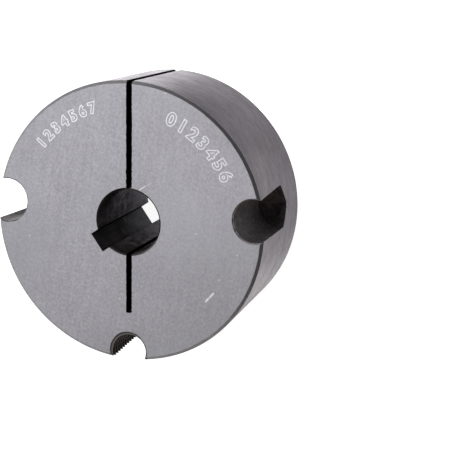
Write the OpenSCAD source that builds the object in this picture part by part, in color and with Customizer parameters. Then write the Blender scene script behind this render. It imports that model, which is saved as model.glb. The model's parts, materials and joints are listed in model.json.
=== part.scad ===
// Taper bush: a split, tapered sleeve that clamps a wheel or pulley hub to a keyed shaft.
// It stands on its small end. The bore runs along Z, the large end is on top, and the
// saw cut that splits it points along +Y.

/* [Tapered body] */
// Diameter of the large end, at the foot of its chamfer
large_d = 108; // [84:1:140]
// Length along the bore
bush_len = 50.8; // [42:0.1:80]
// Slope of the outside, measured from the bore axis
taper_angle = 4; // [1:0.5:8]
// Chamfer round the large end
large_chamfer = 1.1; // [0.3:0.1:2.5]
// Chamfer round the small end
small_chamfer = 0.6; // [0.3:0.1:2.5]

/* [Bore and keyway] */
// Diameter of the shaft bore
bore_d = 25; // [16:1:38]
// Chamfer at each mouth of the bore
bore_chamfer = 0.6; // [0.2:0.1:1.5]
// Width of the keyway
key_w = 8; // [4:1:12]
// Depth of the keyway, from the bore wall to its floor
key_depth = 3.3; // [1.5:0.1:4.5]
// Direction of the keyway, anticlockwise from +X
key_angle = 215.5; // [200:0.5:250]

/* [Saw cuts] */
// Width of the cut that splits the bush and of the relief cut opposite
cut_w = 2.1; // [1:0.1:3.5]
// How far both cuts lie to the +X side of the bore axis
cut_offset = 0.25; // [-0.5:0.05:0.5]
// Metal left between the relief cut and the threaded hole
relief_web = 7.5; // [3:0.1:12]

/* [Plain screw holes] */
// Diameter of the two plain blind holes
plain_d = 16.6; // [12:0.1:20]
// How far the centres of the plain holes lie inside the large diameter
plain_inset = 3.5; // [1:0.1:5.5]
// Depth of the plain holes, to the shoulder of the drill point
plain_depth = 29.5; // [15:0.5:35]
// Included angle of the drill point
drill_point = 118; // [90:1:150]
// Angle of each plain hole from the split
plain_angle = 85; // [60:1:110]
// Chamfer at the mouth of the plain holes
plain_chamfer = 0.5; // [0.2:0.1:1.2]

/* [Threaded screw hole] */
// Largest diameter of the thread, across its roots
thread_d = 15.875; // [12:0.005:20]
// Distance from one thread to the next
thread_pitch = 2.309; // [1.25:0.001:3]
// Included angle of the thread's groove
thread_angle = 55; // [50:1:60]
// Share of the full thread depth that the tap drill leaves standing
thread_share = 0.87; // [0.6:0.01:1]
// How far the centre of the threaded hole lies inside the large diameter
thread_inset = 3.1; // [1:0.1:5.5]
// Depth of the countersink at each mouth of the threaded hole
thread_mouth = 1; // [0.5:0.1:2]

/* [Hidden] */
$fn = 96;

// How far each cutter reaches past the face it opens
past = 1;
// Share of the pitch that a full thread leaves flat at its crests and at its roots
thread_flat = 1 / 6;
// How far the groove's cutter reaches inside the crests, as a share of the full thread depth.
// Neighbouring turns of the cutter stay apart there.
groove_lap = 0.15;
// Angle that each turn of the groove covers on both sides of the metal's middle
groove_half_angle = 150;
// Angle between two sections of the groove, before it is rounded to a whole number of steps
groove_step_angle = 12.5;

large_r = large_d / 2;
small_r = outside_r(0);
bore_r = bore_d / 2;
split_dir = 90;
relief_dir = split_dir + 180;

plain_r = plain_d / 2;
plain_reach = large_r - plain_inset;
point_h = plain_r / tan(drill_point / 2);

thread_root_r = thread_d / 2;
full_depth = thread_pitch * (1 - 2 * thread_flat) / 2 / tan(thread_angle / 2);
thread_crest_r = thread_root_r - full_depth * thread_share;
groove_mouth_r = thread_crest_r - full_depth * groove_lap;
groove_steps = ceil(2 * groove_half_angle / groove_step_angle);
thread_reach = large_r - thread_inset;
relief_reach = thread_reach - thread_root_r - relief_web;

// Radius of the tapered outside at height z
function outside_r(z) = large_r - (bush_len - large_chamfer - z) * tan(taper_angle);

module taper_bush() {
    color("dimgray") difference() {
        tapered_body();
        shaft_bore();
        keyway();
        saw_cuts();
        for (side = [-1, 1]) plain_hole(split_dir + side * plain_angle);
        threaded_hole();
    }
}

module tapered_body() {
    rotate_extrude() polygon([
        [0, 0],
        [small_r - small_chamfer, 0],
        [outside_r(small_chamfer), small_chamfer],
        [large_r, bush_len - large_chamfer],
        [large_r - large_chamfer, bush_len],
        [0, bush_len]
    ]);
}

// A straight hole from end to end, with a 45 degree chamfer at each mouth
module through_hole(r, chamfer) {
    translate([0, 0, -past]) cylinder(r = r, h = bush_len + 2 * past);
    mouth_chamfer(r, chamfer);
    translate([0, 0, bush_len]) mirror([0, 0, 1]) mouth_chamfer(r, chamfer);
}

// The chamfer of a hole whose mouth is at z = 0 and that runs up from there
module mouth_chamfer(r, chamfer) {
    translate([0, 0, -past])
        cylinder(r1 = r + chamfer + past, r2 = r, h = chamfer + past);
}

module shaft_bore() {
    through_hole(bore_r, bore_chamfer);
}

// A square-bottomed slot beside the bore, open from end to end
module keyway() {
    rotate([0, 0, key_angle]) slot(key_w, bore_r + key_depth);
}

// One cut goes out through the rim and the other stops short of the threaded hole
module saw_cuts() {
    translate([cut_offset, 0, 0]) {
        rotate([0, 0, split_dir]) slot(cut_w, large_r + past);
        rotate([0, 0, relief_dir]) slot(cut_w, relief_reach);
    }
}

// A slot of width w along +X, from the bore axis as far as reach
module slot(w, reach) {
    translate([0, -w / 2, -past]) cube([reach, w, bush_len + 2 * past]);
}

// A drilled blind hole that breaks out through the tapered side
module plain_hole(direction) {
    rotate([0, 0, direction]) translate([plain_reach, 0, bush_len]) mirror([0, 0, 1]) {
        translate([0, 0, -past]) cylinder(r = plain_r, h = plain_depth + past);
        translate([0, 0, plain_depth]) cylinder(r1 = plain_r, r2 = 0, h = point_h);
        mouth_chamfer(plain_r, plain_chamfer);
    }
}

// A tapped hole from end to end that breaks out through the tapered side
module threaded_hole() {
    rotate([0, 0, relief_dir]) translate([thread_reach, 0, 0]) {
        through_hole(thread_crest_r, thread_mouth);
        thread_groove();
    }
}

// The thread: one helical groove, cut a turn at a time through the metal beside the hole
module thread_groove() {
    last_turn = ceil(bush_len / thread_pitch);
    for (turn = [0 : last_turn]) translate([0, 0, turn * thread_pitch]) groove_turn();
}

// One closed sweep of the groove's section, with its middle at the metal's middle
module groove_turn() {
    sections = [for (i = [0 : groove_steps]) groove_section((2 * i / groove_steps - 1) * groove_half_angle)];
    corners = len(sections[0]);
    last = corners * groove_steps;
    walls = [for (i = [0 : groove_steps - 1], k = [0 : corners - 1])
        let (a = corners * i + k, b = corners * i + (k + 1) % corners)
        each [[a, b, b + corners], [a, b + corners, a + corners]]];
    caps = [[0, 3, 2], [0, 2, 1], [last, last + 1, last + 2], [last, last + 2, last + 3]];
    polyhedron([for (section = sections) each section], concat(walls, caps));
}

// The four corners of the groove's section, at an angle from the direction of the bore axis
function groove_section(angle) = [
    groove_corner(groove_mouth_r, -1, angle),
    groove_corner(thread_root_r, -1, angle),
    groove_corner(thread_root_r, 1, angle),
    groove_corner(groove_mouth_r, 1, angle)
];

// A corner at radius r, on the groove's lower side (-1) or upper side (1)
function groove_corner(r, side, angle) = [
    -r * cos(angle),
    -r * sin(angle),
    side * groove_half_width(r) + thread_pitch * angle / 360
];

function groove_half_width(r) =
    thread_pitch * thread_flat / 2 + (thread_root_r - r) * tan(thread_angle / 2);

taper_bush();
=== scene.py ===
"""A split taper bush, standing on its small end on a white floor under soft studio light.

The frame is in metres: the bore runs along +Z, the floor is z = 0, the large face is on top and the
saw cut that splits the bush points along +Y.
"""
import json
import math

import bmesh
import bpy
from mathutils import Matrix, Vector, noise


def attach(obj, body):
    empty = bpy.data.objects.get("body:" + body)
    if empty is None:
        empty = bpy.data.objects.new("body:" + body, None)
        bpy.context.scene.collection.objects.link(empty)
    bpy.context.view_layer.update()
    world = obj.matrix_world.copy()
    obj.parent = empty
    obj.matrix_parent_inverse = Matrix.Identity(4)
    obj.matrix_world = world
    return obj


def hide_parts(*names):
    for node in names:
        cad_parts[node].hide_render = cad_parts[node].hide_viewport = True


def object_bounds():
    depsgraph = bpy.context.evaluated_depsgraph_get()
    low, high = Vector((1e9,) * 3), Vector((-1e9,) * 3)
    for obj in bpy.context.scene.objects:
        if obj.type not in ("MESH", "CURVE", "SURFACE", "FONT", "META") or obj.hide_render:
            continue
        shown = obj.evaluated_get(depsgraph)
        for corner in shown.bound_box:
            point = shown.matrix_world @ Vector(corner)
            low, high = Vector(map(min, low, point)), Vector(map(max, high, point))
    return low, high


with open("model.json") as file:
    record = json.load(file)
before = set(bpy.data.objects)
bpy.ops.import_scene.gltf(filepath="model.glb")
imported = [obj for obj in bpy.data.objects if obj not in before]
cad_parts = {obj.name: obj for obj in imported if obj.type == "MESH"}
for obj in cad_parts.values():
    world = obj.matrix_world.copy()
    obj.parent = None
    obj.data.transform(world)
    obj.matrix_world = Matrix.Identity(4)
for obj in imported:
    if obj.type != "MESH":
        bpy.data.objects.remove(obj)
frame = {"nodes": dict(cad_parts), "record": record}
cad_low, cad_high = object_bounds()

MM = 0.001

# The solid's own sizes, in metres and degrees, which its finishes are told apart by
MOUNTS = {mount["name"]: mount for mount in frame["record"]["mounts"]}
FACE_Z = cad_high.z
LARGE_R = 54 * MM
TAPER_SLOPE = math.tan(math.radians(4))
LARGE_CHAMFER = 1.1 * MM
SMALL_CHAMFER = 0.6 * MM
BORE_R = MOUNTS["bore"]["dims"]["r_mm"] * MM
BORE_CHAMFER = 0.6 * MM
CUT_W = 2.1 * MM
CUT_OFFSET = 0.25 * MM
KEY_ANGLE = 215.5
KEY_W = 8 * MM
KEY_DEPTH = 3.3 * MM
PLAIN_R = MOUNTS["plain_hole_a"]["dims"]["r_mm"] * MM
PLAIN_CHAMFER = 0.5 * MM
THREAD_R = 7.94 * MM


def polar(reach, degrees, z=0.0):
    """The point at a distance from the bore axis, in a direction anticlockwise from +X."""
    angle = math.radians(degrees)
    return Vector((reach * math.cos(angle), reach * math.sin(angle), z))


def mount_axis(name):
    """The foot, on the floor, of the upright axis that a mount lies on."""
    x, y, _ = MOUNTS[name]["pos_m"]
    return Vector((x, y, 0.0))


def outside_r(z):
    """Radius of the tapered outside at height z."""
    return LARGE_R - (FACE_Z - LARGE_CHAMFER - z) * TAPER_SLOPE


def flat_distance(a, b):
    """How far apart two points are, seen from above."""
    return math.hypot(a.x - b.x, a.y - b.y)


def from_ends(point):
    """How far a point lies from the nearer end of the bush, along Z."""
    return min(abs(point.z), abs(point.z - FACE_Z))


BORE_AXIS = Vector((0.0, 0.0, 0.0))
RIGHT_AXIS = mount_axis("plain_hole_a")
LEFT_AXIS = mount_axis("plain_hole_b")
THREAD_AXIS = mount_axis("threaded_half_hole")
KEY_ACROSS = polar(1, KEY_ANGLE + 90).xy


def add_object(name, data):
    """A new object in the scene."""
    made = bpy.data.objects.new(name, data)
    bpy.context.scene.collection.objects.link(made)
    return made


def finished_mesh(name, mesh):
    """The mesh as data for an object, once it is built."""
    data = bpy.data.meshes.new(name)
    mesh.to_mesh(data)
    mesh.free()
    return data


# The camera, fitted to the photograph's edges: its lens and sensor in millimetres, its place, the ways to
# its right and behind it, and the nearest and furthest that it sees
LENS = 194.98
SENSOR_W = 36
CAMERA_PLACE = (0.34862, 0.2115, 0.89535)
CAMERA_RIGHT = Vector((0.9386, 0.0093, -0.3448))
CAMERA_BACK = Vector((0.3337, 0.2281, 0.9147))
CAMERA_NEAR = 0.05
CAMERA_FAR = 10


def build_camera():
    """A long lens that looks steeply down on the large face, as in the photograph."""
    data = bpy.data.cameras.new("camera")
    data.sensor_width = SENSOR_W
    data.lens = LENS
    data.clip_start = CAMERA_NEAR
    data.clip_end = CAMERA_FAR
    camera = add_object("camera", data)
    back = CAMERA_BACK.normalized()
    up = back.cross(CAMERA_RIGHT.normalized()).normalized()
    turn = Matrix((up.cross(back), up, back)).transposed().to_4x4()
    camera.matrix_world = Matrix.Translation(CAMERA_PLACE) @ turn
    bpy.context.scene.camera = camera


# Sockets of a Mix node that mixes two colours
MIX_FIRST = 6
MIX_SECOND = 7
MIX_RESULT = 2


class Nodes:
    """A node tree and a short way to add nodes and links to it."""

    def __init__(self, tree):
        self.tree = tree

    def add(self, kind, inputs=None, **settings):
        """A new node with its settings, and with its inputs linked or set."""
        node = self.tree.nodes.new(kind)
        for name, value in settings.items():
            setattr(node, name, value)
        for name, value in (inputs or {}).items():
            self.put(node.inputs[name], value)
        return node

    def put(self, socket, value):
        """Links value to the socket if it is another socket, and otherwise sets it."""
        if isinstance(value, bpy.types.NodeSocket):
            self.tree.links.new(value, socket)
        else:
            socket.default_value = value

    def math(self, operation, a, b, clamp=False):
        """The result of a sum, product or the like of two numbers."""
        return self.add("ShaderNodeMath", {0: a, 1: b}, operation=operation, use_clamp=clamp).outputs[0]

    def total(self, *values):
        """The sum of several numbers."""
        result = values[0]
        for value in values[1:]:
            result = self.math("ADD", result, value)
        return result

    def vector(self, operation, a, b=(0.0, 0.0, 0.0), output="Vector"):
        """The result of an operation on one or two vectors."""
        return self.add("ShaderNodeVectorMath", {0: a, 1: b}, operation=operation).outputs[output]

    def distance(self, a, b):
        """How far apart two places are."""
        return self.vector("DISTANCE", a, b, "Value")

    def noise(self, vector, scale, detail, roughness=0.5):
        """Noise with about scale blots to each unit of the vector."""
        inputs = {"Vector": vector, "Scale": scale, "Detail": detail, "Roughness": roughness}
        return self.add("ShaderNodeTexNoise", inputs).outputs["Fac"]

    def spread(self, value, low, high, to_low=0.0, to_high=1.0, **settings):
        """The value mapped from low..high to to_low..to_high, and held there beyond."""
        inputs = {"Value": value, "From Min": low, "From Max": high, "To Min": to_low, "To Max": to_high}
        return self.add("ShaderNodeMapRange", inputs, clamp=True, **settings).outputs["Result"]

    def swing(self, value, reach, low=0.3, high=0.7):
        """Noise mapped from low..high to minus reach..reach, and held there beyond."""
        return self.spread(value, low, high, -reach, reach)

    def mix(self, factor, first, second):
        """The first colour where factor is 0, and the second where it is 1."""
        node = self.add("ShaderNodeMix", data_type="RGBA")
        self.put(node.inputs["Factor"], factor)
        self.put(node.inputs[MIX_FIRST], first)
        self.put(node.inputs[MIX_SECOND], second)
        return node.outputs[MIX_RESULT]

    def place(self):
        """Object coordinates, in metres."""
        return self.add("ShaderNodeTexCoord").outputs["Object"]

    def flat_place(self):
        """Object coordinates without their height."""
        return self.vector("MULTIPLY", self.place(), (1, 1, 0))

    def cloud(self, scale):
        """Three values of noise, as a vector."""
        return self.add("ShaderNodeTexNoise", {"Vector": self.place(), "Scale": scale}).outputs["Color"]

    def stretched(self, x, y, z, turn=0.0):
        """Object coordinates turned about Z, then each axis multiplied by its own factor."""
        inputs = {"Vector": self.place(), "Rotation": (0, 0, math.radians(turn))}
        turned = self.add("ShaderNodeMapping", inputs).outputs["Vector"]
        return self.vector("MULTIPLY", turned, (x, y, z))

    def turned_noise(self, centre, round_scale, z_scale, detail, roughness=0.5):
        """Noise round an upright axis: about round_scale blots to a radian, and z_scale to a metre of Z."""
        offset = self.vector("SUBTRACT", self.place(), centre)
        level = self.vector("MULTIPLY", offset, (1, 1, 0))
        circle = self.vector("NORMALIZE", level)
        circle = self.vector("MULTIPLY", circle, (round_scale, round_scale, 0))
        along = self.vector("MULTIPLY", offset, (0, 0, z_scale))
        return self.noise(self.vector("ADD", circle, along), 1.0, detail, roughness)

    def spotted(self, place, spots):
        """How strongly each place lies inside a list of soft spots: centre, reach and strength."""
        share = 0.0
        for centre, reach, strength in spots:
            spot = self.spread(self.distance(place, centre), 0, reach, strength, 0)
            share = self.math("MAXIMUM", share, spot)
        return share

    def bump(self, shader, height, strength, distance):
        """Makes the surface rise and fall with height, in units of distance."""
        inputs = {"Height": height, "Strength": strength, "Distance": distance}
        normal = self.add("ShaderNodeBump", inputs).outputs["Normal"]
        self.put(shader.inputs["Normal"], normal)

    def scratch(self, start, end, width):
        """1 on the line from start to end, and 0 at width from it."""
        run = end - start
        offset = self.vector("SUBTRACT", self.place(), start)
        share = self.vector("DOT_PRODUCT", offset, run / run.length_squared, "Value")
        share = self.math("MAXIMUM", self.math("MINIMUM", share, 1.0), 0.0)
        scaled = self.add("ShaderNodeVectorMath", {0: run, "Scale": share}, operation="SCALE")
        return self.spread(self.distance(offset, scaled.outputs["Vector"]), 0, width, 1, 0)


def new_material(name, roughness, ior, metallic=0.0):
    """A material with a plain shader, and the node tree that its colour and bump are built in."""
    material = bpy.data.materials.new(name)
    material.use_nodes = True
    shader = material.node_tree.nodes["Principled BSDF"]
    shader.inputs["Roughness"].default_value = roughness
    shader.inputs["Metallic"].default_value = metallic
    shader.inputs["IOR"].default_value = ior
    return material, Nodes(material.node_tree), shader


def bare_nodes(block):
    """The node tree of a material or a world, with nothing in it yet."""
    block.use_nodes = True
    block.node_tree.nodes.clear()
    return Nodes(block.node_tree)


# Tints of the bare iron, and of the dark coat, which leans to violet and brown
IRON_TINT = (1.0, 0.98, 1.075)
COOL_TINT = (0.96, 0.98, 1.06)
BRIGHT_TINT = (1.0, 1.0, 1.0)
COAT_TINT = (1.0, 0.90, 0.94)
CHAMFER_TINT = (1.0, 0.96, 1.01)
# The warm tint of the pale spots on the taper, which are partly dust and partly painted light
DUST_AND_LIGHT_TINT = (1.0, 0.91, 0.82)
THREAD_TINT = (1.0, 0.82, 0.76)
# Tints of the coat's sheen, and of its gloss on the taper, on the chamfers and elsewhere
COAT_SHEEN = (1.0, 0.88, 0.97, 1.0)
TAPER_GLOSS = (0.885, 0.85, 0.91, 1.0)
CHAMFER_GLOSS = (1.0, 1.0, 1.0, 1.0)
COAT_GLOSS = (0.89, 0.85, 0.89, 1.0)


def grey(value, tint=IRON_TINT):
    """A tinted grey."""
    return (value * tint[0], value * tint[1], value * tint[2], 1.0)


# Fine scratches on the large face: start, end and width in millimetres, and how bright each is
SCRATCHES = [
    ((4.5, 12.7), (6.9, 14.3), 0.28, 1.00),
    ((6.9, 14.3), (9.1, 15.7), 0.17, 0.60),
    ((13.3, -4.9), (18.5, -6.6), 0.14, 0.22),
    ((-30.0, 16.0), (-24.0, 25.0), 0.14, 0.12),
    ((20.5, 20.0), (22.5, 27.5), 0.14, 0.12),
    ((-9.0, -22.0), (-14.5, -31.0), 0.14, 0.10),
]
# The same for the grooves that look dark
GROOVES = [((5.1, 12.7), (7.6, 14.4), 0.18, 0.55), ((-14.3, 1.6), (-16.6, 6.9), 0.14, 0.15)]
# Bright specks on the large face, and how wide they are from the middle, in millimetres
SPECKS = [(43.8, -8.8), (36.7, -19.1), (-3.5, -30.4), (-41.0, -9.0), (27.2, -2.2), (14.8, 50.4)]
SPECK_REACH = 0.38
# Painted shade and painted light on the large face: wide places that are faintly darker, and lighter,
# where the light falls less or more: centre and reach in millimetres, and how strong each is
FACE_SHADES = [((42, -34), 46, 0.15), ((-52, -16), 26, 0.18), ((0, -52), 26, 0.14)]
FACE_LIGHTS = [((27, 7), 30, 0.17)]

# Pale spots on the taper, partly dust smudges and partly painted light: angle in degrees, height and reach
# in millimetres, and how strong each is
DUST_AND_PAINTED_LIGHT = [
    (-22, 44, 28, 0.55),
    (-34, 42, 12, 0.85),
    (-31, 45, 4, 0.50),
    (-24, 30, 10, 0.30),
    (-19, 47, 4, 0.40),
    (-14, 37, 8, 0.60),
    (-22, 11, 7, 0.35),
    (-12, 14, 5, 0.30),
    (8, 7, 5, 0.40),
    (16, 42, 9, 0.50),
    (20, 26, 28, 0.22),
    (25, 38, 12, 0.42),
    (42, 14, 9, 0.12),
    (100, 25, 26, 0.25),
    (88, 36, 10, 0.30),
    (87, 12, 9, 0.25),
    (99, 34, 12, 0.30),
    (104, 42, 12, 0.45),
]
# Painted shade on the taper: darker patches that stand in for dark reflections, in the same way
PAINTED_SHADE_PATCHES = [(61, 43, 26, 1.0), (72, 43, 18, 1.0), (48, 30, 9, 0.3), (62, 26, 8, 0.3)]
# The width over which the edges of the pale spots and of the painted shade wander, and how often to the metre
WANDER = 20 * MM
WANDER_SCALE = 130

# Pale flecks and painted highlights on the bore's wall and the keyway's floor, and painted light on the wall
# near the bore's mouth: place and reach in millimetres, and how strong each is
FLECKS_AND_PAINTED_LIGHT = [
    ((-11.48, 4.93, 28.2), 1.1, 0.8),
    ((-11.9, 4.0, 29.0), 0.8, 0.5),
    ((-12.48, -0.73, 23.6), 2.2, 0.35),
    ((-12.4, 1.6, 34.0), 2.4, 0.25),
    ((-14.51, -6.86, 19.2), 1.5, 0.40),
    ((-12.3, -10.2, 26.0), 2.2, 0.12),
    ((5.0, -11.4, 48.5), 5.0, 0.14),
    ((8.0, -9.6, 49.8), 5.0, 0.24),
]
# Height from the small end over which painted light makes the coat inside the bore paler
PAINTED_LIGHT_H = 24 * MM
# The place at the left hole's mouth where light is painted pale into the coat, in the same way as the flecks
MOUTH_PAINTED_LIGHT = [((-46.5, -3.2, 50.8), 14, 1.0)]

# The distance between the wide bands that a turning or boring tool leaves
BAND_PITCH = 3.2 * MM

# How high the bumps of each finish stand, in metres
GRAIN_H = 0.05 * MM
TAPER_GRAIN_H = 0.016 * MM
TAPER_WAVE_H = 0.08 * MM
TURNED_H = 0.014 * MM
LINED_H = 0.06 * MM
WORN_H = 0.04 * MM
ETCHED_H = 0.03 * MM


def on_face(point):
    """A point in millimetres as a place on the large face."""
    return Vector((point[0] * MM, point[1] * MM, FACE_Z))


def in_metres(spots):
    """Spots whose centre and reach are given in millimetres."""
    return [(Vector(centre) * MM, reach * MM, strength) for centre, reach, strength in spots]


def scratched(nodes, lines):
    """How strongly each place on the face is marked by a list of lines."""
    share = 0.0
    for start, end, width, strength in lines:
        line = nodes.scratch(on_face(start), on_face(end), width * MM)
        share = nodes.math("MAXIMUM", share, nodes.math("MULTIPLY", line, strength))
    return share


def face_material():
    """The ground large face: fine grain, faint grinding lines along Y, clouds, scratches and specks."""
    material, nodes, shader = new_material("ground_face", roughness=0.45, ior=1.45)
    clouds = nodes.noise(nodes.place(), 38, detail=3)
    grain = nodes.noise(nodes.stretched(1, 0.85, 1, turn=12), 1100, detail=2, roughness=0.6)
    blots = nodes.noise(nodes.stretched(1, 0.7, 1, turn=-20), 330, detail=2)
    lines = nodes.noise(nodes.stretched(1, 0.06, 1, turn=9), 1000, detail=2)
    tone = nodes.total(
        nodes.swing(grain, 1.0, 0.2, 0.8),
        nodes.swing(blots, 0.22, 0.25, 0.75),
        nodes.swing(lines, 0.28, 0.25, 0.75),
        nodes.swing(clouds, 0.20),
    )
    ground = nodes.mix(nodes.spread(tone, -1.3, 1.3), grey(0.227), grey(0.407))
    cool = nodes.noise(nodes.place(), 22, detail=1)
    ground = nodes.mix(nodes.spread(cool, 0.45, 0.75, 0, 0.5), ground, grey(0.33, COOL_TINT))
    # Painted shade and painted light: wide places made faintly darker and lighter
    for spots, colour in ((FACE_SHADES, grey(0.15)), (FACE_LIGHTS, grey(0.50))):
        placed = [(on_face(centre), reach * MM, strength) for centre, reach, strength in spots]
        ground = nodes.mix(nodes.spotted(nodes.place(), placed), ground, colour)
    ground = nodes.mix(scratched(nodes, GROOVES), ground, grey(0.03))
    specks = [(on_face(centre), SPECK_REACH * MM, 1.0) for centre in SPECKS]
    marks = nodes.math("MAXIMUM", scratched(nodes, SCRATCHES), nodes.spotted(nodes.place(), specks))
    nodes.put(shader.inputs["Base Color"], nodes.mix(marks, ground, grey(0.75, BRIGHT_TINT)))
    nodes.put(shader.inputs["Roughness"], nodes.spread(tone, -1, 1, 0.52, 0.40))
    nodes.bump(shader, nodes.math("SUBTRACT", tone, marks), 0.15, GRAIN_H)
    return material


def taper_material():
    """The turned taper: a coat pale at a glancing angle, with tool marks, dust, painted light and shade."""
    material, nodes, shader = new_material("turned_taper", roughness=0.2, ior=1.25, metallic=0.8)
    shader.inputs["Sheen Weight"].default_value = 1.0
    shader.inputs["Sheen Roughness"].default_value = 0.1
    shader.inputs["Sheen Tint"].default_value = COAT_SHEEN
    shader.inputs["Specular Tint"].default_value = TAPER_GLOSS
    rings = nodes.turned_noise(BORE_AXIS, 3.0, 1400, detail=2, roughness=0.6)
    scores = nodes.turned_noise(BORE_AXIS, 130.0, 45, detail=2)
    patches = nodes.turned_noise(BORE_AXIS, 7.0, 150, detail=3, roughness=0.6)
    smears = nodes.turned_noise(BORE_AXIS, 4.5, 300, detail=3, roughness=0.6)
    mottle = nodes.turned_noise(BORE_AXIS, 30.0, 600, detail=3, roughness=0.6)
    pores = nodes.noise(nodes.place(), 1100, detail=2, roughness=0.6)
    tone = nodes.total(
        nodes.swing(rings, 0.12),
        nodes.swing(scores, 0.10),
        nodes.swing(patches, 0.5),
        nodes.swing(smears, 0.45),
        nodes.swing(mottle, 0.25),
        nodes.swing(pores, 0.2),
    )
    coat = nodes.mix(nodes.spread(tone, -1.2, 1.2), grey(0.001, COAT_TINT), grey(0.050, COAT_TINT))
    ragged = nodes.vector("SUBTRACT", nodes.cloud(WANDER_SCALE), (0.5, 0.5, 0.5))
    shift = nodes.vector("MULTIPLY", ragged, (WANDER, WANDER, WANDER))
    place = nodes.vector("ADD", nodes.place(), shift)
    # Painted shade, and pale spots that are partly dust and partly painted light
    for spots, colour in ((PAINTED_SHADE_PATCHES, grey(0.001)), (DUST_AND_PAINTED_LIGHT, grey(0.14, DUST_AND_LIGHT_TINT))):
        placed = [
            (polar(outside_r(height * MM), angle, height * MM), reach * MM, strength)
            for angle, height, reach, strength in spots
        ]
        coat = nodes.mix(nodes.spotted(place, placed), coat, colour)
    nodes.put(shader.inputs["Base Color"], coat)
    nodes.put(shader.inputs["Roughness"], nodes.spread(tone, -1.0, 1.0, 0.3, 0.13))
    fine = nodes.math("MULTIPLY", tone, TAPER_GRAIN_H)
    wide = nodes.math("MULTIPLY", patches, TAPER_WAVE_H)
    nodes.bump(shader, nodes.total(fine, wide), 1.0, 1.0)
    return material


def bore_painted_light(nodes, coat):
    """The bore's coat with painted light: paler towards the small end, and at dirt flecks and painted
    highlights.
    """
    height = nodes.add("ShaderNodeSeparateXYZ", {0: nodes.place()}).outputs["Z"]
    blots = nodes.noise(nodes.stretched(1, 1, 0.5), 480, detail=3, roughness=0.6)
    # Painted light: the coat grows paler towards the small end, where light comes in from below
    low_down = nodes.spread(height, 0, PAINTED_LIGHT_H, 1, 0)
    share = nodes.math("MULTIPLY", low_down, nodes.spread(blots, 0.35, 0.6, 0.6, 1.0))
    paler = nodes.mix(share, coat, grey(0.24))
    return nodes.mix(nodes.spotted(nodes.place(), in_metres(FLECKS_AND_PAINTED_LIGHT)), paler, grey(0.35, COAT_TINT))


def mouth_painted_light(nodes, coat):
    """The coat inside a screw hole, with light painted paler at one place of its mouth."""
    blots = nodes.noise(nodes.stretched(1, 1, 0.5), 600, detail=3, roughness=0.6)
    near = nodes.spotted(nodes.place(), in_metres(MOUTH_PAINTED_LIGHT))
    share = nodes.math("MULTIPLY", near, nodes.spread(blots, 0.35, 0.65, 0.7, 1.0))
    return nodes.mix(share, coat, grey(0.23, COAT_TINT))


def turned_material(name, centre, dark, light, roughness, ior, metallic=0.0, pitch=0.9, mottled=0.3,
                    tint=COAT_TINT, gloss=COAT_GLOSS, painted_light=None):
    """A dark phosphated surface turned or bored round centre, with rings that follow the tool.

    dark and light are the ends of its tone, pitch is the distance between rings in millimetres, mottled
    is how strongly blots a millimetre or two across show, tint and gloss colour the coat and its gloss,
    and painted_light is a function that paints light into the coat.
    """
    material, nodes, shader = new_material(name, roughness, ior, metallic)
    shader.inputs["Specular Tint"].default_value = gloss
    rings = nodes.turned_noise(centre, 2.0, 1 / (pitch * MM), detail=2, roughness=0.6)
    bands = nodes.turned_noise(centre, 5.0, 1 / BAND_PITCH, detail=3, roughness=0.55)
    blots = nodes.noise(nodes.stretched(1, 1, 0.6), 420, detail=3, roughness=0.65)
    pores = nodes.noise(nodes.place(), 1100, detail=2, roughness=0.6)
    tone = nodes.total(
        nodes.swing(rings, 0.3),
        nodes.swing(bands, 0.3),
        nodes.spread(blots, 0.35, 0.75, -mottled, 1.6 * mottled),
        nodes.swing(pores, 0.3),
    )
    coat = nodes.mix(nodes.spread(tone, -0.9, 1.1), grey(dark, tint), grey(light, tint))
    nodes.put(shader.inputs["Base Color"], painted_light(nodes, coat) if painted_light else coat)
    nodes.put(shader.inputs["Roughness"], nodes.spread(tone, -0.9, 1.1, roughness * 1.5, roughness * 0.6))
    nodes.bump(shader, tone, 1.0, TURNED_H)
    return material


def lined_material(name, dark, light, roughness, ior, metallic=0.0, turn=0.0, across=0.5, along=0.02,
                   patchy=0.15, tint=COAT_TINT, painted_light=None):
    """A dark wall with the marks of a broach, saw or tap.

    across is the distance between marks in millimetres, in a pattern that is turned about Z by turn
    degrees and drawn out along Z where along is below 1, and patchy is how strongly wider patches show.
    The rest is as for a turned material.
    """
    material, nodes, shader = new_material(name, roughness, ior, metallic)
    shader.inputs["Specular Tint"].default_value = COAT_GLOSS
    marks = nodes.noise(nodes.stretched(1, 1, along, turn), 1 / (across * MM), detail=3, roughness=0.6)
    patches = nodes.noise(nodes.place(), 160, detail=2)
    tone = nodes.total(nodes.swing(marks, 0.6), nodes.swing(patches, patchy))
    coat = nodes.mix(nodes.spread(tone, -0.8, 0.8), grey(dark, tint), grey(light, tint))
    nodes.put(shader.inputs["Base Color"], painted_light(nodes, coat) if painted_light else coat)
    nodes.put(shader.inputs["Roughness"], nodes.spread(tone, -0.8, 0.8, roughness + 0.08, roughness - 0.05))
    nodes.bump(shader, tone, 0.5, LINED_H)
    return material


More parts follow.
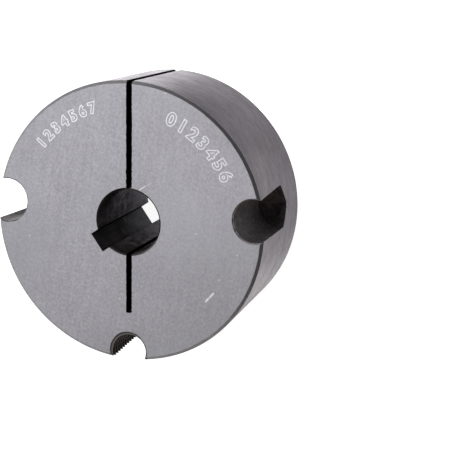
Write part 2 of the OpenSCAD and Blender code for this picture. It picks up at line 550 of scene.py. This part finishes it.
def countersink_material():
    """The countersink of the tapped hole, with its coat rubbed pale at the rim and at the thread."""
    material, nodes, shader = new_material("countersink", roughness=0.4, ior=1.35)
    distance = nodes.distance(nodes.flat_place(), THREAD_AXIS)
    outer = nodes.spread(distance, THREAD_R - 0.25 * MM, THREAD_R - 0.05 * MM)
    inner = nodes.spread(distance, THREAD_R - 0.95 * MM, THREAD_R - 0.65 * MM, 1, 0)
    wear = nodes.noise(nodes.place(), 700, detail=3, roughness=0.65)
    edges = nodes.math("MAXIMUM", outer, inner)
    share = nodes.math("MULTIPLY", edges, nodes.spread(wear, 0.3, 0.6, 0.4, 1.0))
    nodes.put(shader.inputs["Base Color"], nodes.mix(share, grey(0.05, COAT_TINT), grey(0.20, COAT_TINT)))
    nodes.bump(shader, wear, 0.4, WORN_H)
    return material


def edge_material():
    """Edges where handling has rubbed the dark coat thin."""
    material, nodes, shader = new_material("rubbed_edge", roughness=0.38, ior=1.45, metallic=0.2)
    wear = nodes.noise(nodes.place(), 420, detail=3, roughness=0.65)
    nodes.put(shader.inputs["Base Color"], nodes.mix(nodes.spread(wear, 0.35, 0.7), grey(0.09), grey(0.34)))
    nodes.bump(shader, wear, 0.3, WORN_H)
    return material


def mark_material():
    """Bright etched lines, with a little grain."""
    material, nodes, shader = new_material("etched_mark", roughness=0.6, ior=1.4)
    grain = nodes.noise(nodes.place(), 2200, detail=2, roughness=0.6)
    nodes.put(shader.inputs["Base Color"], nodes.mix(nodes.spread(grain, 0.3, 0.7), grey(0.50), grey(0.80)))
    nodes.bump(shader, grain, 0.3, ETCHED_H)
    return material


# The finishes of the bush, numbered as its materials are
(FACE, CONE, CHAMFER, BORE, KEYWAY, SAWN_AND_PAINTED_SHADE, DRILLED, THREAD, EDGE, MOUTH, COUNTERSINK, HOLE_MOUTH,
 LEFT_DRILLED) = range(13)


def body_materials():
    """The material of each finish."""
    return {
        FACE: face_material(),
        CONE: taper_material(),
        CHAMFER: turned_material(
            "turned_chamfer", BORE_AXIS, dark=0.165, light=0.22, roughness=0.17, ior=1.45, metallic=0.8,
            tint=CHAMFER_TINT, gloss=CHAMFER_GLOSS,
        ),
        BORE: turned_material(
            "bored_wall", BORE_AXIS, dark=0.001, light=0.026, roughness=0.36, ior=1.05, metallic=0.42,
            pitch=0.5, mottled=0.6, painted_light=bore_painted_light,
        ),
        KEYWAY: lined_material(
            "broached_keyway", dark=0.001, light=0.016, roughness=0.42, ior=1.03, metallic=0.3,
            turn=KEY_ANGLE, patchy=0.6, painted_light=bore_painted_light,
        ),
        # Near black, as painted shade: the cuts' walls, the keyway's side walls and inner edge flats
        SAWN_AND_PAINTED_SHADE: lined_material(
            "sawn_wall_painted_shade", dark=0.0005, light=0.002, roughness=0.6, ior=1.05, across=0.4, along=0.6,
        ),
        DRILLED: turned_material(
            "drilled_wall", RIGHT_AXIS, dark=0.008, light=0.075, roughness=0.45, ior=1.25, pitch=0.7,
        ),
        THREAD: lined_material(
            "cut_thread", dark=0.005, light=0.024, roughness=0.4, ior=1.25, across=0.6, along=1.0,
            tint=THREAD_TINT,
        ),
        EDGE: edge_material(),
        MOUTH: turned_material(
            "bore_mouth", BORE_AXIS, dark=0.01, light=0.03, roughness=0.5, ior=1.12, pitch=0.4,
            painted_light=bore_painted_light,
        ),
        COUNTERSINK: countersink_material(),
        HOLE_MOUTH: turned_material(
            "hole_mouth", RIGHT_AXIS, dark=0.03, light=0.17, roughness=0.4, ior=1.4, pitch=0.4,
            mottled=1.0,
        ),
        LEFT_DRILLED: turned_material(
            "left_drilled_wall", LEFT_AXIS, dark=0.001, light=0.01, roughness=0.45, ior=1.2, pitch=0.7,
            painted_light=mouth_painted_light,
        ),
    }


# How far a point may lie off a surface and still count as on it, and the same for the taper, whose flats
# lie further inside it
NEAR = 0.06 * MM
FACET_SAG = 0.3 * MM
# How far beside a saw cut a face still counts as sawn, and how far from the bore axis, along Y, the walls of
# the cuts begin
SAW_REACH = 0.45 * MM
SAWN_FROM = 0.98 * BORE_R
# How far from the ends of the bush the countersink's faces lie, at most
COUNTERSINK_H = 1.1 * MM
# A face is level or slanted where more than this share of its normal points along Z, and on the taper where
# more than this share points outwards
LEVEL = 0.99
SLANTED = 0.6
OUTWARD = 0.98
# Edges that bend more than this are broken. How far their flats reach and how many there are, and how far
# the flats reach on the lips of the split, down the taper
BROKEN_ANGLE = math.radians(30)
EDGE_BREAK = 0.11 * MM
EDGE_STEPS = 3
LIP_BREAK = 0.32 * MM
# The length of the bare stretches on the saw cuts' edges, and the level of noise above which metal is bare
BARE_LENGTH = 0.9 * MM
BARE_LEVEL = 0.16


def from_cut(point):
    """How far beside the middle of the saw cuts a point lies."""
    return abs(point.x - CUT_OFFSET)


def from_plain_hole(point):
    """How far a point lies from the axis of the nearer plain hole."""
    return min(flat_distance(point, RIGHT_AXIS), flat_distance(point, LEFT_AXIS))


def on_chamfer(centre, normal, radius):
    """Whether a face belongs to the chamfer round the large end or the small end."""
    if normal.z > SLANTED:
        return centre.z > FACE_Z - LARGE_CHAMFER - NEAR and radius > LARGE_R - LARGE_CHAMFER - NEAR
    if normal.z < -SLANTED:
        return centre.z < SMALL_CHAMFER + NEAR and radius > outside_r(0) - SMALL_CHAMFER - NEAR
    return False


def finish_of(centre, normal):
    """Which finish a face of the bush has, from where it lies and which way it points."""
    radius = math.hypot(centre.x, centre.y)
    slanted = abs(normal.z) > SLANTED
    if abs(normal.z) > LEVEL:
        return FACE
    outward = (centre.x * normal.x + centre.y * normal.y) / radius
    if abs(radius - outside_r(centre.z)) < FACET_SAG and outward > OUTWARD:
        return CONE
    if on_chamfer(centre, normal, radius):
        return CHAMFER
    if flat_distance(centre, THREAD_AXIS) < THREAD_R + NEAR:
        return COUNTERSINK if slanted and from_ends(centre) < COUNTERSINK_H else THREAD
    if from_plain_hole(centre) < PLAIN_R + PLAIN_CHAMFER:
        if from_ends(centre) < PLAIN_CHAMFER:
            return HOLE_MOUTH
        return DRILLED if centre.x > 0 else LEFT_DRILLED
    if slanted and radius < BORE_R + BORE_CHAMFER + NEAR:
        return MOUTH
    # The cuts' walls: the dark coat made near black as painted shade
    if from_cut(centre) < CUT_W / 2 + SAW_REACH and abs(centre.y) > SAWN_FROM:
        return SAWN_AND_PAINTED_SHADE
    if abs(radius - BORE_R) < NEAR:
        return BORE
    # The keyway's side walls take the near-black finish of the cuts, as painted shadow
    if abs(centre.xy.dot(KEY_ACROSS)) > KEY_W / 2 - NEAR:
        return SAWN_AND_PAINTED_SHADE
    return KEYWAY


def edge_finish_of(centre):
    """Which finish a broken edge has: bare metal outside, and painted shade in the cuts, the bore and the
    holes.
    """
    radius = math.hypot(centre.x, centre.y)
    if from_cut(centre) < CUT_W / 2 + SAW_REACH and abs(centre.y) > BORE_R + BORE_CHAMFER:
        return EDGE if noise.noise(centre / BARE_LENGTH) > BARE_LEVEL else SAWN_AND_PAINTED_SHADE
    # In the bore and keyway, flats away from the ends are near black, as painted shade
    if radius < BORE_R + KEY_DEPTH + BORE_CHAMFER:
        return MOUTH if from_ends(centre) < 2 * EDGE_BREAK else SAWN_AND_PAINTED_SHADE
    # Flats of the edges deep in the plain holes are near black, as painted shade
    inside = radius < outside_r(centre.z) - 2 * EDGE_BREAK
    below_mouth = from_ends(centre) > PLAIN_CHAMFER + 2 * EDGE_BREAK
    if from_plain_hole(centre) < PLAIN_R + NEAR and inside and below_mouth:
        return SAWN_AND_PAINTED_SHADE
    return EDGE


def in_cut_side(point):
    """Whether a point lies in the plane of one side of the saw cuts."""
    return abs(from_cut(point) - CUT_W / 2) < NEAR


def is_sawn_edge(edge):
    """Whether an edge runs along a side of a saw cut, on one of the outer faces."""
    start, end = (v.co for v in edge.verts)
    if abs(start.z - end.z) > NEAR:
        return False
    return all(from_ends(p) <= NEAR and in_cut_side(p) and abs(p.y) > BORE_R for p in (start, end))


def is_split_lip(edge):
    """Whether an edge runs down the taper along a side of the split."""
    start, end = (v.co for v in edge.verts)
    if abs(start.z - end.z) < FACE_Z / 2:
        return False
    on_taper = all(abs(math.hypot(p.x, p.y) - outside_r(p.z)) < FACET_SAG for p in (start, end))
    return on_taper and in_cut_side(start) and in_cut_side(end)


def is_broken(edge):
    """Whether an edge is sharp and lies outside the thread, so that it is broken."""
    if len(edge.link_faces) != 2 or edge.calc_face_angle(0) <= BROKEN_ANGLE:
        return False
    middle = (edge.verts[0].co + edge.verts[1].co) / 2
    return flat_distance(middle, THREAD_AXIS) >= THREAD_R + 4 * EDGE_BREAK


# The ragged edges of the saw cuts: how far apart their corners are, how much wider the cuts grow there,
# how deep the saw's marks go, and how strongly steps and chips show in them
RAG_PITCH = 0.45 * MM
RAG_WIDEN = 0.06 * MM
RAG_DEPTH = 0.15 * MM
STEP_SHARE = 0.75
CHIP_SHARE = 2.2
# The noise behind them: the length of a step along the cut, how much finer its detail is and how strong,
# how often chips come for each step, the level above which a chip breaks out, and what keeps the two
# sides of a cut, and the steps and chips, from looking alike
STEP_LENGTH = 1.1 * MM
DETAIL_SCALE = 2.7
DETAIL_SHARE = 0.5
CHIP_SCALE = 0.8
CHIP_LEVEL = 0.28
SIDE_SHIFT = 7
CHIP_SHIFT = Vector((3, 0, 0))


def rag_saw_cuts(mesh):
    """Gives the long edges of the saw cuts on both faces the small steps and chips that a saw leaves."""
    long_edges = [e for e in mesh.edges if is_sawn_edge(e) and e.calc_length() > 3 * RAG_PITCH]
    for edge in long_edges:
        cuts = int(edge.calc_length() / RAG_PITCH)
        made = bmesh.ops.subdivide_edges(mesh, edges=[edge], cuts=cuts)
        for v in made["geom_inner"]:
            if isinstance(v, bmesh.types.BMVert):
                v.co.x += rag_shift(v.co)


def rag_shift(point):
    """How far a point on the edge of a saw cut is moved along X, away from the cut."""
    side = math.copysign(1, point.x - CUT_OFFSET)
    place = Vector((side * SIDE_SHIFT, point.y / STEP_LENGTH, point.z / MM))
    step = noise.noise(place) + DETAIL_SHARE * noise.noise(place * DETAIL_SCALE)
    chip = max(0.0, noise.noise(place * CHIP_SCALE + CHIP_SHIFT) - CHIP_LEVEL)
    return side * (RAG_WIDEN + RAG_DEPTH * (STEP_SHARE * step + CHIP_SHARE * chip))


# Corners closer together than WELD are joined, faces that bend less than FLAT_ANGLE are merged, and edges
# shorter than TINY are closed up
WELD = 0.002 * MM
FLAT_ANGLE = math.radians(0.1)
TINY = 0.001 * MM
# Edges that bend more than this are shaded as sharp
SHARP_ANGLE = math.radians(35)
# Above 50, large faces count for more than small ones in the shading of the corners that they share
LARGE_FACE_WEIGHT = 90


def break_edges(mesh):
    """Breaks every sharp edge outside the thread, and gives each flat there its finish."""
    edges = [e for e in mesh.edges if is_broken(e)]
    bmesh.ops.bevel(mesh, geom=edges, offset=EDGE_BREAK, segments=EDGE_STEPS, profile=0.5, affect="EDGES",
                    clamp_overlap=True, material=EDGE)
    bmesh.ops.dissolve_degenerate(mesh, dist=TINY, edges=mesh.edges)
    bmesh.ops.triangulate(mesh, faces=[f for f in mesh.faces if len(f.verts) > 4])
    mesh.normal_update()
    for face in mesh.faces:
        face.smooth = True
        if face.material_index == EDGE:
            face.material_index = edge_finish_of(face.calc_center_median())


# How far the bush's large face is lowered, so that the marks, which reach up to FACE_Z, stand proud of it
MARK_PROUD = 0.02 * MM


def build_bush(node):
    """The bush with its finishes: the solid's own surface, with broken edges and sawn cuts."""
    mesh = bmesh.new()
    mesh.from_mesh(node.data)
    bmesh.ops.remove_doubles(mesh, verts=mesh.verts, dist=WELD)
    bmesh.ops.dissolve_limit(mesh, angle_limit=FLAT_ANGLE, verts=mesh.verts, edges=mesh.edges)
    rag_saw_cuts(mesh)
    lips = [e for e in mesh.edges if is_split_lip(e)]
    bmesh.ops.bevel(mesh, geom=lips, offset=LIP_BREAK, segments=1, affect="EDGES")
    mesh.normal_update()
    for face in mesh.faces:
        face.material_index = finish_of(face.calc_center_median(), face.normal)
    break_edges(mesh)
    for vertex in mesh.verts:
        vertex.co.z = min(vertex.co.z, FACE_Z - MARK_PROUD)
    data = finished_mesh("bush", mesh)
    data.set_sharp_from_angle(angle=SHARP_ANGLE)
    materials = body_materials()
    for finish in sorted(materials):
        data.materials.append(materials[finish])
    bush = add_object("bush", data)
    shading = bush.modifiers.new("even_normals", "WEIGHTED_NORMAL")
    shading.keep_sharp = True
    shading.weight = LARGE_FACE_WEIGHT
    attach(bush, "root")
    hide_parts(node.name)


# Numerals round the rim: text, radius of their middle, angles of the first and the last, and height,
# in millimetres and degrees
NUMERALS = [("0123456", 44.2, 67.0, 28.0, 5.1), ("1234567", 45.2, 142.0, 109.0, 4.0)]
# How much is added to the font's thin strokes on each side, and the width of the lines that are drawn
# along their outlines, in millimetres
NUMERAL_BOLD = 0.24
STROKE_W = 0.42
# Height of a numeral in the built-in font, as a share of the font's size, and the steps of its curves
FONT_H = 0.72
FONT_STEPS = 6
# A short straight mark between the thread and the right hole: start, end and width in millimetres
TALLY_MARK = ((31.3, -28.1), (34.7, -24.3), 0.75)
# The longest mitre at a corner is the line's width divided by this
MITRE_FLOOR = 0.6
# Height of the marks, most of which is let into the large face
MARK_DEPTH = 0.05 * MM


def glyph_loops(character, height):
    """The outlines of a built-in numeral round the origin, as closed lists of points in millimetres."""
    data = bpy.data.curves.new("numeral", "FONT")
    data.body = character
    data.resolution_u = FONT_STEPS
    data.fill_mode = "NONE"
    text = add_object("numeral", data)
    bpy.context.view_layer.update()
    mesh = bpy.data.meshes.new_from_object(text)
    loops = traced_loops(mesh, height / FONT_H)
    bpy.data.objects.remove(text)
    bpy.data.curves.remove(data)
    bpy.data.meshes.remove(mesh)
    points = [p for loop in loops for p in loop]
    low = Vector((min(p.x for p in points), min(p.y for p in points)))
    high = Vector((max(p.x for p in points), max(p.y for p in points)))
    loops = [[p - (low + high) / 2 for p in loop] for loop in loops]
    widest = max(loops, key=lambda loop: abs(signed_area(loop)))
    return [moved_out(loop, NUMERAL_BOLD if loop is widest else -NUMERAL_BOLD) for loop in loops]


def traced_loops(mesh, size):
    """The closed chains of edges in a mesh, as lists of points multiplied by size."""
    ways = {}
    for edge in mesh.edges:
        a, b = edge.vertices
        ways.setdefault(a, []).append(b)
        ways.setdefault(b, []).append(a)
    loops = []
    left = set(ways)
    while left:
        here = min(left)
        loop = []
        while here in left:
            left.discard(here)
            loop.append(mesh.vertices[here].co.xy * size)
            onward = [n for n in ways[here] if n in left]
            here = onward[0] if onward else None
        loops.append(loop)
    return loops


def signed_area(loop):
    """The area inside a closed loop, below zero where the loop runs clockwise."""
    return sum(a.x * b.y - b.x * a.y for a, b in zip(loop, loop[1:] + loop[:1])) / 2


def mitres(points, closed):
    """The way across a path at each point, as long as a mitred corner there needs."""
    count = len(points)
    found = []
    for i, point in enumerate(points):
        before = points[(i - 1) % count] if closed or i > 0 else None
        after = points[(i + 1) % count] if closed or i < count - 1 else None
        come = (point - before).normalized() if before is not None else (after - point).normalized()
        go = (after - point).normalized() if after is not None else come
        way = (come + go).normalized()
        across = Vector((-way.y, way.x))
        found.append(across / max(MITRE_FLOOR, abs(across.dot(Vector((-go.y, go.x))))))
    return found


def moved_out(loop, distance):
    """A closed loop grown by a distance, or shrunk where it is below zero."""
    side = -distance if signed_area(loop) > 0 else distance
    return [p + across * side for p, across in zip(loop, mitres(loop, True))]


def add_ribbon(mesh, points, width, closed):
    """A flat band of one width along points, in metres, as a closed solid let into the face."""
    bottom = FACE_Z - MARK_DEPTH
    sections = []
    for point, across in zip(points, mitres(points, closed)):
        left = point - across * width / 2
        right = point + across * width / 2
        corners = [(*left, FACE_Z), (*right, FACE_Z), (*right, bottom), (*left, bottom)]
        sections.append([mesh.verts.new(corner) for corner in corners])
    following = sections[1:] + sections[:1] if closed else sections[1:]
    for here, there in zip(sections, following):
        for k in range(4):
            mesh.faces.new((here[k], here[(k + 1) % 4], there[(k + 1) % 4], there[k]))
    if not closed:
        mesh.faces.new(sections[0])
        mesh.faces.new(reversed(sections[-1]))


def build_marks():
    """Plain numerals in outline on both sides of the split, and the short tally mark."""
    mesh = bmesh.new()
    for text, reach, first, last, height in NUMERALS:
        for i, character in enumerate(text):
            angle = first + (last - first) * i / (len(text) - 1)
            turn = Matrix.Rotation(math.radians(angle - 90), 2)
            centre = polar(reach * MM, angle).xy
            for loop in glyph_loops(character, height):
                points = [centre + (turn @ p) * MM for p in loop]
                add_ribbon(mesh, points, STROKE_W * MM, True)
    start, end, width = TALLY_MARK
    add_ribbon(mesh, [Vector(start) * MM, Vector(end) * MM], width * MM, False)
    bmesh.ops.recalc_face_normals(mesh, faces=mesh.faces)
    data = finished_mesh("etched_numerals", mesh)
    data.materials.append(mark_material())
    marks = add_object("etched_numerals", data)
    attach(marks, "root")


# The floor's size in metres and its paint, and the white that is added to it for the camera and for gloss
FLOOR_SIZE = 6
FLOOR_PAINT = (0.6, 0.6, 0.6, 1.0)
FLOOR_GLOW = 0.93
GLOSS_GLOW = 0.66
# Soft places on the floor that are lighter in gloss, or darker where the change is below 0: centre and
# reach in millimetres, and the change as a share of the glow
GLOSS_PLACES = [
    ((28, 72), 38, -0.95),
    ((-34, 46), 22, 1.10),
    ((-7, 57), 22, 0.25),
    ((56, -40), 26, 0.36),
    ((66, 18), 24, 0.25),
    ((52, 40), 20, -0.18),
    ((8, 66), 18, -0.25),
    ((-125, -130), 150, -0.38),
]
WHITE = (1.0, 1.0, 1.0, 1.0)


def glow_in_gloss(nodes):
    """How bright each place of the floor is where gloss shows it."""
    glow = GLOSS_GLOW
    for (x, y), reach, change in GLOSS_PLACES:
        distance = nodes.distance(nodes.place(), (x * MM, y * MM, 0))
        soft = nodes.spread(distance, 0, reach * MM, change * GLOSS_GLOW, 0, interpolation_type="SMOOTHSTEP")
        glow = nodes.math("ADD", glow, soft)
    return glow


def seen_share(nodes):
    """1 for what the camera sees, also in gloss and through glass, and 0 for light that is scattered."""
    path = nodes.add("ShaderNodeLightPath").outputs
    seen = nodes.math("ADD", path["Is Camera Ray"], path["Is Glossy Ray"], clamp=True)
    return nodes.math("ADD", seen, path["Is Transmission Ray"], clamp=True)


def build_floor():
    """A white floor that looks white from any side and keeps the object's soft shadow."""
    bpy.ops.mesh.primitive_plane_add(size=FLOOR_SIZE, location=(0, 0, 0))
    floor = bpy.context.object
    floor.name = "floor"
    material = bpy.data.materials.new("white_floor")
    nodes = bare_nodes(material)
    paint = nodes.add("ShaderNodeBsdfDiffuse", {"Color": FLOOR_PAINT}).outputs[0]
    in_gloss = nodes.add("ShaderNodeLightPath").outputs["Is Glossy Ray"]
    white = nodes.spread(in_gloss, 0, 1, FLOOR_GLOW, glow_in_gloss(nodes))
    strength = nodes.math("MULTIPLY", seen_share(nodes), white)
    glow = nodes.add("ShaderNodeEmission", {"Color": WHITE, "Strength": strength}).outputs[0]
    surface = nodes.add("ShaderNodeAddShader", {0: paint, 1: glow}).outputs[0]
    nodes.add("ShaderNodeOutputMaterial", {"Surface": surface})
    floor.data.materials.append(material)


def softbox(name, place, aim, width, height, watts, colour=(1, 1, 1), in_gloss=True):
    """A rectangular lamp at place that faces aim, which gloss shows where in_gloss is true."""
    data = bpy.data.lights.new(name, "AREA")
    data.shape = "RECTANGLE"
    data.size = width
    data.size_y = height
    data.energy = watts
    data.color = colour
    lamp = add_object(name, data)
    lamp.location = place
    lamp.rotation_euler = (Vector(aim) - Vector(place)).to_track_quat("-Z", "Y").to_euler()
    lamp.visible_camera = False
    lamp.visible_glossy = in_gloss


def build_lamps():
    """A lamp high beyond the split, one beyond the left hole, and a low warm one on the other side."""
    softbox("top_softbox", (-0.015, 0.27, 0.37), aim=(0, 0, 0.04), width=0.25, height=0.25, watts=1.54)
    softbox("side_softbox", (-0.34, 0.18, 0.30), aim=(0, 0, 0.03), width=0.35, height=0.25, watts=1.5)
    softbox("low_softbox", (0.38, -0.30, 0.11), aim=(0.08, -0.05, 0), width=0.2, height=0.08, watts=0.75,
            colour=(1.0, 0.84, 0.70), in_gloss=False)


# Brightness of the dim room as light, and as it is seen in gloss. The white backdrop below it stands a little
# higher on the +Y and -X sides, and fades into the room between two heights: 0 is level, 1 straight up.
WORLD_LIGHT = (0.12, 0.12, 0.12, 1.0)
ROOM_IN_GLOSS = 0.095
BACKDROP_UP = (0.035, -0.05, 1.0)
BACKDROP_FADE = (0.10, 0.24)


def build_world():
    """A dim room that scatters an even light, with a white backdrop that the camera and gloss see."""
    world = bpy.data.worlds.new("studio")
    bpy.context.scene.world = world
    nodes = bare_nodes(world)
    direction = nodes.add("ShaderNodeTexCoord").outputs["Generated"]
    height = nodes.vector("DOT_PRODUCT", direction, BACKDROP_UP, "Value")
    backdrop = nodes.spread(height, *BACKDROP_FADE, 1.0, ROOM_IN_GLOSS)
    colour = nodes.mix(seen_share(nodes), WORLD_LIGHT, backdrop)
    light = nodes.add("ShaderNodeBackground", {"Color": colour, "Strength": 1.0}).outputs[0]
    nodes.add("ShaderNodeOutputWorld", {"Surface": light})


bpy.context.scene.view_settings.view_transform = "Standard"
build_camera()
build_bush(frame["nodes"]["taper_bush"])
build_marks()
build_floor()
build_lamps()
build_world()
